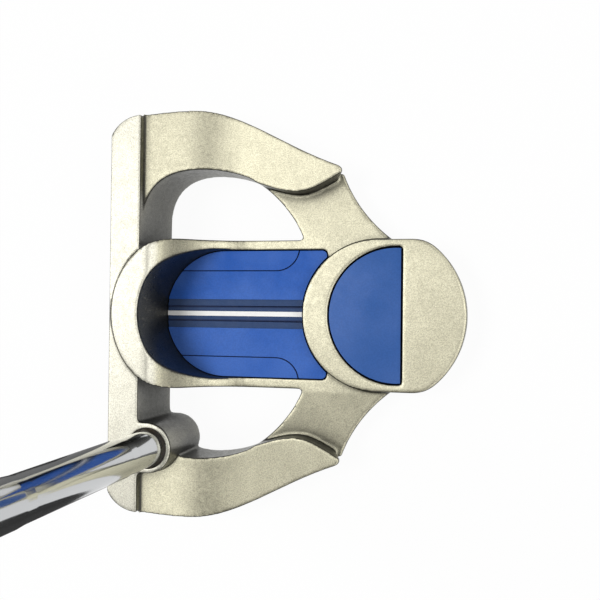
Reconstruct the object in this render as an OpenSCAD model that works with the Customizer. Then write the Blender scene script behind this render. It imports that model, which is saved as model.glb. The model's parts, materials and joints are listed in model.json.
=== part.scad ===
// Mallet putter: a cast mallet head with two side wings, a bent stepped shaft and a rubber grip.
// Millimetres. +Z is up from the sole plane, -X is out of the face and +Y is towards the toe.
// The origin is on the sole plane, on the centreline, under the middle of the face bar's top.

/* [Face bar] */
// Heel-to-toe length of the face bar
bar_length = 104.6; // [96:0.2:112]
// Thickness of the face bar at its top
bar_thickness = 8.4; // [7:0.1:10]
// Height of the face bar above the sole
bar_height = 22; // [20:0.1:25]
// Lean of the face from upright, in degrees
face_loft = 3; // [1:0.5:5]
// Height of the slanted leading edge between the face and the sole
lead_height = 1.5; // [0.8:0.1:1.9]
// Length of that slant along the sole
lead_run = 2.6; // [1:0.1:4]
// Length along the face that the rounded heel and toe corners take up
bar_corner = 9.5; // [6:0.5:12]

/* [Wings] */
// Heel-to-toe distance across the widest part of the wings
wing_span = 109.4; // [104:0.2:118]
// How far the widest part of the wings lies behind the middle of the bar
wing_crest_x = 17.2; // [14:0.2:20]
// Width of each wing at its widest part
wing_width = 15.9; // [13:0.1:18]
// How far the wing tips lie behind the middle of the bar
wing_tip_x = 56.2; // [52:0.2:62]
// Distance between the two wing tips
wing_tip_spread = 75; // [70:0.5:80]
// Height of the wings where they leave the bar
wing_front_height = 19.3; // [16:0.1:21]
// Height of the wings over the rest of their length
wing_height = 12; // [10.5:0.1:14]
// Length over which the wings come down from the bar
wing_slope_run = 26.8; // [22:0.2:32]
// How steeply the wings come down where they leave the bar, in degrees
wing_slope_angle = 24; // [15:1:30]
// Height of the fillet between each wing and the back of the bar
wing_root_rise = 0.9; // [0.4:0.1:2]
// Length of that fillet along the wing
wing_root_run = 2.6; // [1.5:0.1:5]
// Metal left round the hollow under each wing
wing_shell = 3; // [2.5:0.1:5]
// Metal left above the hollow under each wing
wing_roof = 3.2; // [2.5:0.1:5]
// Length over which a wing's underside sweeps up to its tip
wing_sweep_run = 14; // [10:0.5:18]
// How far a wing's tip stands out over its foot on the bridge
wing_overhang = 2.5; // [1:0.1:4]

/* [Bowl] */
// Half of the width across the rim's two sides
rim_half_width = 20; // [18:0.05:22]
// Length of the rim's round front, from its front edge back to its straight sides
rim_round = 17.1; // [15:0.1:20]
// Thickness of the rim along the two sides of the bowl
rim_wall = 2.6; // [1.8:0.05:3.5]
// Height of the rim at the front, where it lies on the bar
rim_height = 22.6; // [21:0.1:26]
// Distance from the bar's front edge back to the rim
rim_setback = 0.85; // [0.5:0.05:3]
// How far the rim's slope begins behind the middle of the bar
rim_slope_x = 5.5; // [5:0.1:8]
// Length over which the rim comes down to the bridge
rim_slope_run = 26.5; // [22:0.5:28]
// Distance from the back of the bar's middle to the centre of the bowl's round front
bowl_centre_x = 23; // [21:0.1:26]
// How much the bowl's wall opens out from the bridge level up to the rim
bowl_flare = 1.7; // [0.4:0.1:2]

/* [Bridge and tail] */
// Height of the bridge's top
bridge_height = 7.5; // [6.5:0.1:9]
// Thickness of the bridge between the wings and the tail
bridge_thickness = 4.5; // [3:0.1:6]
// How much the bridge's top falls from the bowl out to the wings, in degrees
bridge_fall = 4; // [1:0.5:6]
// Thickness of the lip along the bridge's outer edges
bridge_lip = 2.4; // [1.8:0.1:3]
// How far that lip stands out over the rest of the bridge
lip_overhang = 1.6; // [0.5:0.1:2.5]
// Distance from the middle of the bar to the centre of the tail's round front
tail_centre_x = 65.2; // [62:0.1:70]
// Radius of the tail's round front, and half of its width
tail_radius = 19.9; // [18:0.1:22]
// Radius of the tail's blunt back end
tail_end_radius = 23.7; // [21:0.1:28]
// How far the tail reaches behind the centre of its round front
tail_reach = 23.1; // [20:0.1:27]
// Height of the tail's top
tail_height = 9.5; // [8.5:0.1:12]
// Radius of the hollow under the tail
tail_hollow_radius = 14.5; // [9:0.1:15]
// Length over which the tail's underside sweeps up to its back end
tail_sweep_run = 13; // [8:0.5:16]
// Height of the tail's underside at its back end
tail_sweep_rise = 3; // [1:0.1:4]
// Metal left between the tail's hollow and its inlay pocket
tail_floor = 2.6; // [2:0.1:3.5]

/* [Cavity plate] */
// Thickness of the cavity plate over its raised side strips
plate_thickness = 3.8; // [2.8:0.1:4.5]
// How far the plate's top lies under the bridge's top
plate_recess = 0.4; // [0.1:0.05:1]
// Gap between the plate and the bowl's wall
plate_gap = 0.25; // [0.1:0.05:0.5]
// Gap between the plate and the tail
plate_tail_gap = 0.75; // [0.3:0.05:1.5]
// Height of the raised side strips
strip_height = 0.3; // [0.15:0.05:0.6]
// Distance between the two side strips
strip_spacing = 23.3; // [18:0.1:27]
// Radius of the curve that ends each side strip
strip_end_radius = 6.5; // [4:0.1:9]
// Distance from the tail to the start of that curve
strip_end_setback = 7.7; // [5:0.1:12]
// Width of the sighting channel along the plate
channel_width = 7.9; // [6:0.1:10]
// Depth of the sighting channel
channel_depth = 0.45; // [0.2:0.05:0.8]
// Width of the deeper groove in the middle of the channel
groove_width = 3.9; // [2.5:0.1:5]
// Depth of that groove below the channel
groove_depth = 0.4; // [0.2:0.05:0.8]
// Width of the sight line
line_width = 1.3; // [0.8:0.05:2]
// Thickness of the sight line
line_thickness = 0.3; // [0.1:0.05:0.4]

/* [Tail inlay] */
// Width of the metal ring beside the inlay
inlay_ring = 2; // [1.5:0.1:3.5]
// How far the inlay's round centre lies behind the tail's
inlay_offset = 5; // [3:0.1:6]
// Distance from the inlay's round centre to its straight back edge
inlay_chord = 1.65; // [0:0.05:4]
// Thickness of the inlay
inlay_thickness = 1.6; // [1:0.1:2.5]
// How far the inlay's top lies under the tail's top
inlay_recess = 0.25; // [0.1:0.05:0.6]
// Gap round the inlay
inlay_gap = 0.25; // [0.1:0.05:0.5]

/* [Face insert] */
// Heel-to-toe length of the face insert
insert_length = 60; // [50:1:66]
// Height of the face insert
insert_height = 15; // [11:0.5:17]
// Thickness of the face insert
insert_thickness = 3.6; // [2.5:0.1:4.5]
// Gap round the face insert
insert_gap = 0.1; // [0.05:0.05:0.3]
// Height of the insert's middle above the sole
insert_middle = 11; // [9.5:0.1:12]
// Thickness of the bonding film under the plate, the inlay and the insert
film_thickness = 0.2; // [0.1:0.05:0.4]
// How far each bonding film stays inside the edge of the piece that it holds
film_margin = 1; // [0.5:0.1:2]

/* [Shaft socket] */
// Outside radius of the round boss that holds the shaft
boss_radius = 6.6; // [6:0.1:8]
// Distance from the bar's back face to the shaft's axis
socket_setback = 2.8; // [2:0.1:5]
// Distance from the centreline to the shaft's axis, towards the heel
socket_offset = 35.3; // [32:0.1:38]
// Depth of the shaft socket
socket_depth = 16; // [12:0.5:18]
// Radius of the fillets between the boss and the bar
boss_fillet = 1.2; // [0.5:0.1:2.5]
// Thickness of the bond round the shaft tip
bond_gap = 0.25; // [0.1:0.05:0.5]
// How far the bond stops below the mouth of the socket
bond_drop = 0.3; // [0.1:0.05:1]

/* [Shaft] */
// Outside diameter of the shaft tip
tip_diameter = 9.4; // [8.8:0.1:10]
// Wall of the shaft tube
shaft_wall = 0.5; // [0.4:0.05:0.8]
// Growth of the diameter at each step
step_growth = 0.4; // [0.2:0.05:0.5]
// Height of the first step above the socket's mouth
first_step = 14; // [8:0.5:20]
// Distance between steps
step_pitch = 44.5; // [38:0.5:50]
// Number of steps along the shaft above the bend
upper_steps = 10; // [8:1:11]
// Length of the short cone at each step
step_cone = 1.2; // [0.8:0.1:2]
// Height above the sole where the bend begins
bend_height = 98; // [92:0.5:102]
// Radius of the bend, along the shaft's axis
bend_radius = 60; // [45:1:80]
// Angle between the upper shaft and the ground
lie_angle = 71; // [69:0.5:74]
// Length of the club along its axis
club_length = 864; // [840:1:890]

/* [Grip] */
// Length of the grip
grip_length = 267; // [250:1:280]
// Diameter of the grip at its mouth
grip_mouth = 20.6; // [19.6:0.1:22]
// Diameter of the grip at its butt
grip_butt = 27; // [25:0.1:30]
// Thickness of the grip's wall under its flat front, at the mouth
grip_wall = 1; // [0.8:0.1:1.2]
// Thickness of the closed butt end
grip_cap = 4; // [3:0.1:6]
// Radius of the rounded butt edge
grip_edge = 3; // [1.5:0.1:4]
// Diameter of the vent hole in the butt end
grip_vent = 2.4; // [1.5:0.1:4]
// Thickness of the grip tape
tape_thickness = 0.25; // [0.15:0.05:0.4]
// How far the tape stops inside the grip's mouth
tape_margin = 6; // [3:0.5:12]

/* [Hidden] */
$fn = 48;

// A little more than any cut needs, so that it passes through the surface it leaves by.
past = 1;
tall = 60;

bar_front = -bar_thickness / 2;
bar_rear = bar_thickness / 2;
bar_half = bar_length / 2;
loft_run = bar_height * tan(face_loft);

wing_half = wing_span / 2;
tip_y = wing_tip_spread / 2;
window_crest_y = wing_half - wing_width;

rim_front = bar_front + rim_setback;
bowl_radius = rim_half_width - rim_wall;

tail_front = tail_centre_x - tail_radius;
tail_back = tail_centre_x + tail_reach;
tail_end_centre_x = tail_back - tail_end_radius;
window_back = tail_front - 0.4;

// The bridge's top falls from here, and by this much at the wing tips.
fall_start = rim_half_width + 0.6;
bridge_drop = (tip_y - fall_start) * tan(bridge_fall);

plate_top = bridge_height - plate_recess;
plate_floor = plate_top - plate_thickness;
bowl_floor = plate_floor - film_thickness;
// The plate's rear horns stop here, beside the tail's round front.
horn_x = tail_front + 6.4;
channel_floor = plate_top - strip_height - channel_depth;
groove_floor = channel_floor - groove_depth;

inlay_radius = tail_radius - inlay_ring;
inlay_centre_x = tail_centre_x + inlay_offset;
inlay_top = tail_height - inlay_recess;
inlay_floor = inlay_top - inlay_thickness;
inlay_pocket_floor = inlay_floor - film_thickness;

socket_x = bar_rear + socket_setback;
socket_y = -socket_offset;
socket_floor = bar_height - socket_depth;
socket_radius = tip_diameter / 2 + bond_gap;
// The bond is as thick under the shaft tip as round it.
tip_z = socket_floor + bond_gap;

bend_angle = 90 - lie_angle;
bend_y = socket_y - bend_radius * (1 - cos(bend_angle));
bend_top_z = bend_height + bend_radius * sin(bend_angle);
bend_length = bend_radius * bend_angle * PI / 180;
upper_length = club_length - bend_height - bend_length - grip_cap;

first_step_s = bar_height + first_step - tip_z;
lower_length = bend_height - tip_z;
lower_steps = max(0, 1 + floor((lower_length - step_cone - first_step_s) / step_pitch));
lower_diameter = tip_diameter + lower_steps * step_growth;
// The upper tube is one step larger than the bend, and takes in its end by the length of a step's cone.
upper_diameter = lower_diameter + step_growth;
butt_diameter = upper_diameter + upper_steps * step_growth;
grip_bottom = upper_length + grip_cap - grip_length;

// Curves

// A cubic curve from p[0] to p[3], drawn to its two handles p[1] and p[2].
function curve(p, n = 12) = [for (i = [0 : n])
  let (t = i / n, u = 1 - t)
  u * u * u * p[0] + 3 * u * u * t * p[1] + 3 * u * t * t * p[2] + t * t * t * p[3]];

function arc(centre, radius, from, to, n = 24) = [for (i = [0 : n])
  let (a = from + (to - from) * i / n)
  centre + radius * [cos(a), sin(a)]];

// A smooth slope from height a down to height b, steepest near its start and level at its end. It starts
// with a lean of angle degrees, and near and far place the curve's two handles along the run.
function slope(x, run, a, b, near, far, angle = 0, n = 16) = curve([[x, a],
  [x + near * run, a - near * run * tan(angle)], [x + far * run, b], [x + run, b]], n);

// Closes a toe-side outline with its mirror image on the heel side.
function both_sides(p) = concat(p, [for (i = [len(p) - 1 : -1 : 0]) [p[i].x, -p[i].y]]);

// The outer edge of a wing, from the bar's corner over the crest to the tip.
function wing_outer() = concat(
  curve([[bar_rear, bar_half + 0.5], [bar_rear + 4.8, bar_half + 1.6],
    [wing_crest_x - 4.2, wing_half], [wing_crest_x, wing_half]], 8),
  curve([[wing_crest_x, wing_half], [wing_crest_x + 10.8, wing_half],
    [wing_tip_x - 15.2, tip_y + 6.8], [wing_tip_x - 1.2, tip_y + 1.7]], 16),
  curve([[wing_tip_x - 1.2, tip_y + 1.7], [wing_tip_x - 0.3, tip_y + 1.3],
    [wing_tip_x + 0.4, tip_y + 0.7], [wing_tip_x - 0.1, tip_y - 0.3]], 4));

// The edge of a wing's rear end, which rises from the bridge, from the tip round to the window.
function wing_end() = concat(
  curve([[wing_tip_x - 0.1, tip_y - 0.3], [wing_tip_x - 4.7, tip_y - 2.9],
    [wing_tip_x - 8.2, tip_y - 5.2], [wing_tip_x - 12.2, tip_y - 5.15]], 8),
  curve([[wing_tip_x - 12.2, tip_y - 5.15], [wing_tip_x - 16.2, tip_y - 5.1],
    [wing_tip_x - 20.4, tip_y - 3.4], [wing_tip_x - 25.8, tip_y - 1.5]], 8));

// The window between bar, wing, bridge and bowl, from the bar round its crest to the bridge.
function window_edge() = concat(
  curve([[bar_rear, window_crest_y - 14], [bar_rear, window_crest_y - 3.5],
    [wing_crest_x - 6.7, window_crest_y], [wing_crest_x + 1.4, window_crest_y]], 14),
  curve([[wing_crest_x + 1.4, window_crest_y], [wing_crest_x + 5.3, window_crest_y],
    [wing_crest_x + 10.3, window_crest_y - 0.9], [wing_tip_x - 24.7, tip_y - 1.4]], 8),
  curve([[wing_tip_x - 24.7, tip_y - 1.4], [wing_tip_x - 19.2, tip_y - 4.7],
    [window_back - 2.4, rim_half_width + 6.6], [window_back, rim_half_width + 0.8]], 12),
  curve([[window_back, rim_half_width + 0.8], [window_back + 0.15, rim_half_width + 0.35],
    [window_back - 0.3, rim_half_width], [window_back - 0.9, rim_half_width]], 4));

// Outlines

module bar_plan() {
  front = bar_front - loft_run;
  polygon(both_sides(curve([[front, bar_half - bar_corner], [front + 0.3, bar_half - 4],
    [bar_rear - 5.4, bar_half - 0.2], [bar_rear, bar_half]], 12)));
}

module wing_plan() {
  polygon(concat([[0, bar_half - 6]], wing_outer(), wing_end(),
    [[wing_crest_x, window_crest_y - 4], [bar_rear + 2, window_crest_y - 15], [0, window_crest_y - 15]]));
}

module window_plan() {
  polygon(concat([[0, rim_half_width], [0, window_crest_y - 14]], window_edge()));
}

// The bridge from wing to wing, with its outer edges moved in by inset.
module bridge_plan(inset) {
  move = -inset * [0.8, 0.6];
  polygon(both_sides(concat(
    [[wing_crest_x + 3, tip_y + 5], [wing_tip_x - 12, tip_y + 1.5]],
    curve([[wing_tip_x - 0.5, tip_y + 0.2] + move, [wing_tip_x + 1.3, tip_y - 5] + move,
      [wing_tip_x + 5.3, tail_radius + 5.6] + move, [tail_centre_x + 3.8, tail_radius] + move], 14))));
}

module rim_plan() {
  round_end = rim_front + rim_round;
  polygon(both_sides(concat(
    curve([[rim_front, 0.01], [rim_front, 0.55 * rim_half_width],
      [round_end - 0.55 * rim_round, rim_half_width], [round_end, rim_half_width]], 20),
    [[tail_front + 2, rim_half_width]])));
}

module tail_plan() {
  turn = 45;
  corner = [tail_end_centre_x, 0] + tail_end_radius * [cos(turn), sin(turn)];
  translate([tail_centre_x, 0])
    circle(tail_radius);
  polygon(both_sides(concat(
    [[tail_centre_x, tail_radius]],
    curve([[corner.x - 7.2, tail_radius], [corner.x - 3.9, tail_radius],
      corner + [-2, 2], corner], 8),
    arc([tail_end_centre_x, 0], tail_end_radius, turn, 0, 18))));
}

// The outline of the plate and its film: the bowl's inside with a gap all round it.
module plate_plan(gap, tail_gap) {
  half = bowl_radius - gap;
  corner = 1.3;
  difference() {
    polygon(both_sides(concat(
      arc([bowl_centre_x, 0], half, 180, 90, 40),
      arc([horn_x - gap - corner, half - corner], corner, 90, 0, 8))));
    translate([tail_centre_x, 0])
      circle(tail_radius + tail_gap);
  }
}

// The straight rear part of the bowl's inside, up to the tail's round front.
module bowl_rear_plan() {
  corner = 1.3;
  difference() {
    polygon(both_sides(concat(
      [[bowl_centre_x, bowl_radius]],
      arc([horn_x - corner, bowl_radius - corner], corner, 90, 0, 8))));
    translate([tail_centre_x, 0])
      circle(tail_radius);
  }
}

module inlay_plan(gap) {
  intersection() {
    circle(inlay_radius - gap);
    translate([-inlay_radius, -inlay_radius])
      square([inlay_radius + inlay_chord - gap, 2 * inlay_radius]);
  }
}

// A rounded bar outline, lying along the face.
module insert_plan(gap) {
  half = insert_length / 2 - gap;
  radius = insert_height / 2 - gap;
  straight = half - radius;
  translate([-straight, -radius])
    square([2 * straight, 2 * radius]);
  for (side = [-1, 1])
    translate([side * straight, 0])
      circle(radius);
}

// The round boss behind the bar, with its fillets.
module boss_plan() {
  translate([socket_x, socket_y])
    circle(boss_radius);
  translate([0, socket_y - boss_radius])
    square([socket_x, 2 * boss_radius]);
  for (side = [-1, 1])
    translate([bar_rear, socket_y + side * boss_radius])
      mirror([0, side < 0 ? 1 : 0])
        difference() {
          translate([-past, -past])
            square(boss_fillet + past);
          translate([boss_fillet, boss_fillet])
            circle(boss_fillet);
        }
}

// Stands a side view, drawn in x and z, up as a slab across the whole head.
module side_view(p) {
  rotate([90, 0, 0])
    linear_extrude(height = 2 * wing_span, center = true)
      polygon(p);
}

// Puts its children on the face: local x runs into the head, y to the toe and z up the face.
module on_face() {
  translate([bar_front - (bar_height - insert_middle) * tan(face_loft), 0, insert_middle])
    rotate([0, face_loft, 0])
      children();
}

// Extrudes an outline of the face from depth a to depth b behind the face.
module into_face(a, b) {
  translate([a, 0, 0])
    rotate([90, 0, 90])
      linear_extrude(height = b - a)
        children();
}

module toe_and_heel() {
  children();
  mirror([0, 1, 0])
    children();
}

// Places its children on the upper shaft: local z runs up its axis from the end of the bend.
module on_upper_shaft() {
  translate([socket_x, bend_y, bend_top_z])
    rotate([bend_angle, 0, 0])
      children();
}

// Sub-parts

module wing_solid() {
  root_top = wing_front_height + wing_root_rise;
  root_x = bar_rear + wing_root_run;
  fall = slope(bar_rear, wing_slope_run, wing_front_height, wing_height, 0.3, 0.48, wing_slope_angle);
  intersection() {
    linear_extrude(height = tall)
      wing_plan();
    side_view(concat([[-past, 0], [-past, root_top]],
      curve([[bar_rear, root_top], [bar_rear + 0.1, wing_front_height],
        [bar_rear + wing_root_run / 2, wing_front_height - wing_root_run / 2 * tan(wing_slope_angle)],
        [root_x, wing_front_height - wing_root_run * tan(wing_slope_angle)]], 6),
      [for (p = fall) if (p.x > root_x + 0.3) p],
      [[wing_tip_x + 0.6, wing_height], [wing_tip_x - wing_overhang, bridge_height - bridge_drop - 0.5],
        [wing_tip_x - wing_sweep_run, 0]]));
  }
}

// The hollow under a wing keeps the same wall to the outer edge and to the window.
module wing_hollow() {
  y = tip_y - 5;
  translate([0, 0, -past])
    linear_extrude(height = wing_height - wing_roof + past)
      polygon(concat(
        curve([[bar_rear + wing_shell, bar_half - wing_shell], [wing_crest_x, wing_half - wing_shell + 0.6],
          [wing_tip_x - 21, tip_y + 9 - wing_shell], [wing_tip_x - 13, tip_y + 5.6 - wing_shell]], 14),
        curve([[wing_tip_x - 13, y + wing_shell], [wing_tip_x - 22, y + 2 + wing_shell],
          [wing_crest_x + 6, window_crest_y + wing_shell + 0.6],
          [wing_crest_x - 2, window_crest_y + wing_shell]], 12),
        [[bar_rear + wing_shell, window_crest_y + wing_shell - 1.4]]));
}

module bar_solid() {
  intersection() {
    linear_extrude(height = bar_height)
      bar_plan();
    side_view([[bar_front - loft_run + lead_run, 0],
      [bar_front - (bar_height - lead_height) * tan(face_loft), lead_height],
      [bar_front, bar_height], [bar_rear + past, bar_height], [bar_rear + past, 0]]);
  }
}

module bowl_solid() {
  intersection() {
    linear_extrude(height = tall)
      rim_plan();
    side_view(concat([[bar_front - past, 0], [bar_front - past, rim_height]],
      slope(rim_slope_x, rim_slope_run, rim_height, bridge_height, 0.26, 0.36),
      [[tail_back, bridge_height], [tail_back, 0]]));
  }
}

// The bridge's top is level beside the bowl, and falls from there out to the wings.
module bridge_solid() {
  floor = bridge_height - bridge_thickness;
  difference() {
    union() {
      translate([0, 0, floor])
        linear_extrude(height = bridge_thickness)
          bridge_plan(lip_overhang);
      translate([0, 0, bridge_height - bridge_lip])
        linear_extrude(height = bridge_lip)
          bridge_plan(0);
    }
    toe_and_heel()
      translate([0, fall_start, bridge_height])
        rotate([-bridge_fall, 0, 0])
          cube([tail_back, wing_span, tall]);
  }
}

module tail_solid() {
  intersection() {
    linear_extrude(height = tail_height)
      tail_plan();
    side_view([[tail_front - past, 0], [tail_front - past, tail_height + past],
      [tail_back + tail_sweep_run, tail_height + past], [tail_back + tail_sweep_run, 2 * tail_sweep_rise],
      [tail_back - tail_sweep_run, 0]]);
  }
}

module bowl_cut() {
  translate([bowl_centre_x, 0, bowl_floor])
    cylinder(h = bridge_height - bowl_floor, r = bowl_radius);
  translate([0, 0, bowl_floor])
    linear_extrude(height = tall)
      bowl_rear_plan();
  translate([bowl_centre_x, 0, bridge_height])
    cylinder(h = rim_height - bridge_height + past, r1 = bowl_radius, r2 = bowl_radius + bowl_flare);
}

module socket_cut() {
  translate([socket_x, socket_y, socket_floor])
    cylinder(h = socket_depth + past, r = socket_radius);
}

module head_casting() {
  color([0.74, 0.72, 0.64])
    difference() {
      union() {
        difference() {
          union() {
            toe_and_heel()
              wing_solid();
            bridge_solid();
          }
          toe_and_heel()
            translate([0, 0, -past])
              linear_extrude(height = tall)
                window_plan();
        }
        bar_solid();
        linear_extrude(height = bar_height)
          boss_plan();
        bowl_solid();
        tail_solid();
      }
      toe_and_heel()
        wing_hollow();
      bowl_cut();
      translate([inlay_centre_x, 0, inlay_pocket_floor])
        linear_extrude(height = tall)
          inlay_plan(0);
      translate([tail_centre_x, 0, -past])
        cylinder(h = inlay_pocket_floor - tail_floor + past, r = tail_hollow_radius);
      socket_cut();
      on_face()
        into_face(-past, insert_thickness + film_thickness)
          insert_plan(0);
    }
}

module face_insert() {
  color([0.16, 0.17, 0.2])
    on_face()
      into_face(0, insert_thickness)
        insert_plan(insert_gap);
}

module face_insert_film() {
  color([0.85, 0.83, 0.74])
    on_face()
      into_face(insert_thickness, insert_thickness + film_thickness)
        insert_plan(insert_gap + film_margin);
}

// A side strip ends towards the tail in a round curve that runs out to the plate's edge.
module strip_plan() {
  end_x = tail_front - strip_end_setback;
  toe_and_heel()
    polygon(concat(
      [[bowl_centre_x - rim_half_width, strip_spacing / 2]],
      arc([end_x, strip_spacing / 2 + strip_end_radius], strip_end_radius, -90, 0, 10),
      [[end_x + strip_end_radius, rim_half_width], [bowl_centre_x - rim_half_width, rim_half_width]]));
}

module cavity_plate() {
  color([0.12, 0.24, 0.6])
    difference() {
      union() {
        translate([0, 0, plate_floor])
          linear_extrude(height = plate_thickness - strip_height)
            plate_plan(plate_gap, plate_tail_gap);
        translate([0, 0, plate_floor])
          linear_extrude(height = plate_thickness)
            intersection() {
              plate_plan(plate_gap, plate_tail_gap);
              strip_plan();
            }
      }
      translate([0, -channel_width / 2, channel_floor])
        cube([tail_front, channel_width, tall]);
      translate([0, -groove_width / 2, groove_floor])
        cube([tail_front, groove_width, tall]);
    }
}

module cavity_plate_film() {
  color([0.85, 0.83, 0.74])
    translate([0, 0, bowl_floor])
      linear_extrude(height = film_thickness)
        plate_plan(plate_gap + film_margin, plate_tail_gap + film_margin);
}

module sight_line() {
  color([0.95, 0.95, 0.94])
    translate([0, 0, groove_floor])
      linear_extrude(height = line_thickness)
        intersection() {
          plate_plan(plate_gap, plate_tail_gap);
          translate([0, -line_width / 2])
            square([tail_front, line_width]);
        }
}

module tail_inlay() {
  color([0.12, 0.24, 0.6])
    translate([inlay_centre_x, 0, inlay_floor])
      linear_extrude(height = inlay_thickness)
        inlay_plan(inlay_gap);
}

module tail_inlay_film() {
  color([0.85, 0.83, 0.74])
    translate([inlay_centre_x, 0, inlay_pocket_floor])
      linear_extrude(height = film_thickness)
        inlay_plan(inlay_gap + film_margin);
}

module hosel_bond() {
  color([0.2, 0.13, 0.08])
    translate([socket_x, socket_y, socket_floor])
      difference() {
        cylinder(h = socket_depth - bond_drop, r = socket_radius);
        translate([0, 0, tip_z - socket_floor])
          cylinder(h = socket_depth, r = tip_diameter / 2);
      }
}

// One side of a stepped tube's wall, as radius and height, from height bottom up to height top.
// It has count steps, the first of them at a distance of first from the bottom.
function stepped(diameter, bottom, top, first, count, inset) = concat(
  [[diameter / 2 - inset, bottom]],
  [for (i = [0 : 1 : count - 1], end = [0, 1])
    [(diameter + (i + end) * step_growth) / 2 - inset, bottom + first + i * step_pitch + end * step_cone]],
  [[(diameter + count * step_growth) / 2 - inset, top]]);

module stepped_tube(diameter, bottom, top, first, count) {
  outside = stepped(diameter, bottom, top, first, count, 0);
  inside = stepped(diameter, bottom, top, first, count, shaft_wall);
  rotate_extrude()
    polygon(concat(outside, [for (i = [len(inside) - 1 : -1 : 0]) inside[i]]));
}

module shaft() {
  color([0.78, 0.79, 0.81]) {
    translate([socket_x, socket_y, bend_height])
      stepped_tube(tip_diameter, -lower_length, 0, first_step_s, lower_steps);
    translate([socket_x, socket_y - bend_radius, bend_height])
      rotate([90, 0, 90])
        rotate_extrude(angle = bend_angle)
          translate([bend_radius, 0])
            difference() {
              circle(lower_diameter / 2);
              circle(lower_diameter / 2 - shaft_wall);
            }
    on_upper_shaft()
      stepped_tube(upper_diameter, -step_cone, upper_length, step_pitch, upper_steps);
  }
}

module grip_tape() {
  color([0.88, 0.86, 0.78])
    on_upper_shaft()
      translate([0, 0, grip_bottom + tape_margin])
        rotate_extrude()
          translate([butt_diameter / 2, 0])
            square([tape_thickness, grip_length - grip_cap - tape_margin]);
}

// The grip swells from its mouth to its butt, and its flat front follows the taper.
module grip() {
  taper = atan((grip_butt - grip_mouth) / 2 / grip_length);
  bore = butt_diameter / 2 + tape_thickness;
  color([0.07, 0.07, 0.08])
    on_upper_shaft()
      translate([0, 0, grip_bottom])
        difference() {
          rotate_extrude()
            polygon(concat(
              [[0, 0], [grip_mouth / 2 - 1, 0], [grip_mouth / 2, 1]],
              arc([grip_butt / 2 - grip_edge, grip_length - grip_edge], grip_edge, 0, 90, 8),
              [[0, grip_length]]));
          translate([0, 0, -past])
            cylinder(h = grip_length - grip_cap + past, r = bore);
          cylinder(h = grip_length + past, r = grip_vent / 2);
          translate([0, bore + grip_wall, 0])
            rotate([-taper, 0, 0])
              translate([-grip_butt, 0, -tall])
                cube([2 * grip_butt, grip_butt, grip_length + 2 * tall]);
        }
}

head_casting();
face_insert();
face_insert_film();
cavity_plate();
cavity_plate_film();
sight_line();
tail_inlay();
tail_inlay_film();
hosel_bond();
shaft();
grip_tape();
grip();
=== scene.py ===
# %% [markdown]
# # Dressing a mallet putter
# The CAD model gives every piece its size and place. This lesson loads it as a fixed frame and gives
# it what a CAD solid lacks: cast edges, blasted metal, moulded plastic, chrome and textured rubber.

import json
import math

import bmesh
import bpy
from mathutils import Matrix
from mathutils import Vector

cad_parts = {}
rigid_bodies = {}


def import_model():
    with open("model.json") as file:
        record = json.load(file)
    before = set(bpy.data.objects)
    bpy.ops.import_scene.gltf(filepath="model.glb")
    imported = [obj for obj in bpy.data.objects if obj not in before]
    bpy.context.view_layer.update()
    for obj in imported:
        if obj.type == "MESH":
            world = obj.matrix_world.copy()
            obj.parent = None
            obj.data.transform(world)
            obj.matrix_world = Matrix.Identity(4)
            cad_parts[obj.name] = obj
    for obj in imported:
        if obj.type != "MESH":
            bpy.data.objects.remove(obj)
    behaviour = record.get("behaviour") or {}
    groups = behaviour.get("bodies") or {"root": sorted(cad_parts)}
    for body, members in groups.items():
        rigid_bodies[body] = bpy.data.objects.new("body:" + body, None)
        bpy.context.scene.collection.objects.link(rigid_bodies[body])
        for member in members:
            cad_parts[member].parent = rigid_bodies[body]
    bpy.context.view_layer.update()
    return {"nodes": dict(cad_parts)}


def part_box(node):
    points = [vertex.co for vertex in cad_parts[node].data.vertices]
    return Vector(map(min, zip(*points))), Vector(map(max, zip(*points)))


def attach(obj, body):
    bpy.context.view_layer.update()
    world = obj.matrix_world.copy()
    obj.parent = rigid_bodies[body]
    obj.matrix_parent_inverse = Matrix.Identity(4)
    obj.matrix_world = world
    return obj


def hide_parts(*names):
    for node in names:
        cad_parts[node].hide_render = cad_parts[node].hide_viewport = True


for leftover in list(bpy.data.objects):
    bpy.data.objects.remove(leftover)

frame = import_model()
MM = 0.001
print("CAD nodes:", sorted(frame["nodes"]))

# %% [markdown]
# ## The camera
# The photograph was taken from close above the head, a hand's width behind its middle. The place and
# turn of the camera were found by fitting the toe and heel points of the head, so the numbers are a
# position and three axes. A matrix built from the axes is exact, where a tracking constraint is not.

# %% Camera
CAMERA_PLACE = Vector((94.341, 1.595, 212.676)) * MM
CAMERA_RIGHT = Vector((0.971522, 0.010541, -0.236714))
CAMERA_UP = Vector((-0.007671, 0.999885, 0.013043))
CAMERA_BACK = Vector((0.236824, -0.010856, 0.971492))
SENSOR_WIDTH = 36.0
LENS_LENGTH = 47.23
NEAREST_SEEN = 10.0 * MM

camera_data = bpy.data.cameras.new("camera")
camera_data.sensor_width = SENSOR_WIDTH
camera_data.lens = LENS_LENGTH
camera_data.clip_start = NEAREST_SEEN
camera = bpy.data.objects.new("camera", camera_data)
axes = Matrix((CAMERA_RIGHT, CAMERA_UP, CAMERA_BACK)).transposed()
camera.matrix_world = Matrix.Translation(CAMERA_PLACE) @ axes.to_4x4()
bpy.context.scene.collection.objects.link(camera)
bpy.context.scene.camera = camera
bpy.context.scene.view_settings.view_transform = "Standard"
print("camera stands", round(CAMERA_PLACE.z / MM), "mm above the sole")

# %% [markdown]
# ## Helpers for nodes
# Every finish here is a small node tree on Object coordinates. Noise is the workhorse: one node makes
# the pattern and a Map Range node sets how strong it is. Scaling a colour by such a value keeps its hue,
# which is how real dirt and wear act.


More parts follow.
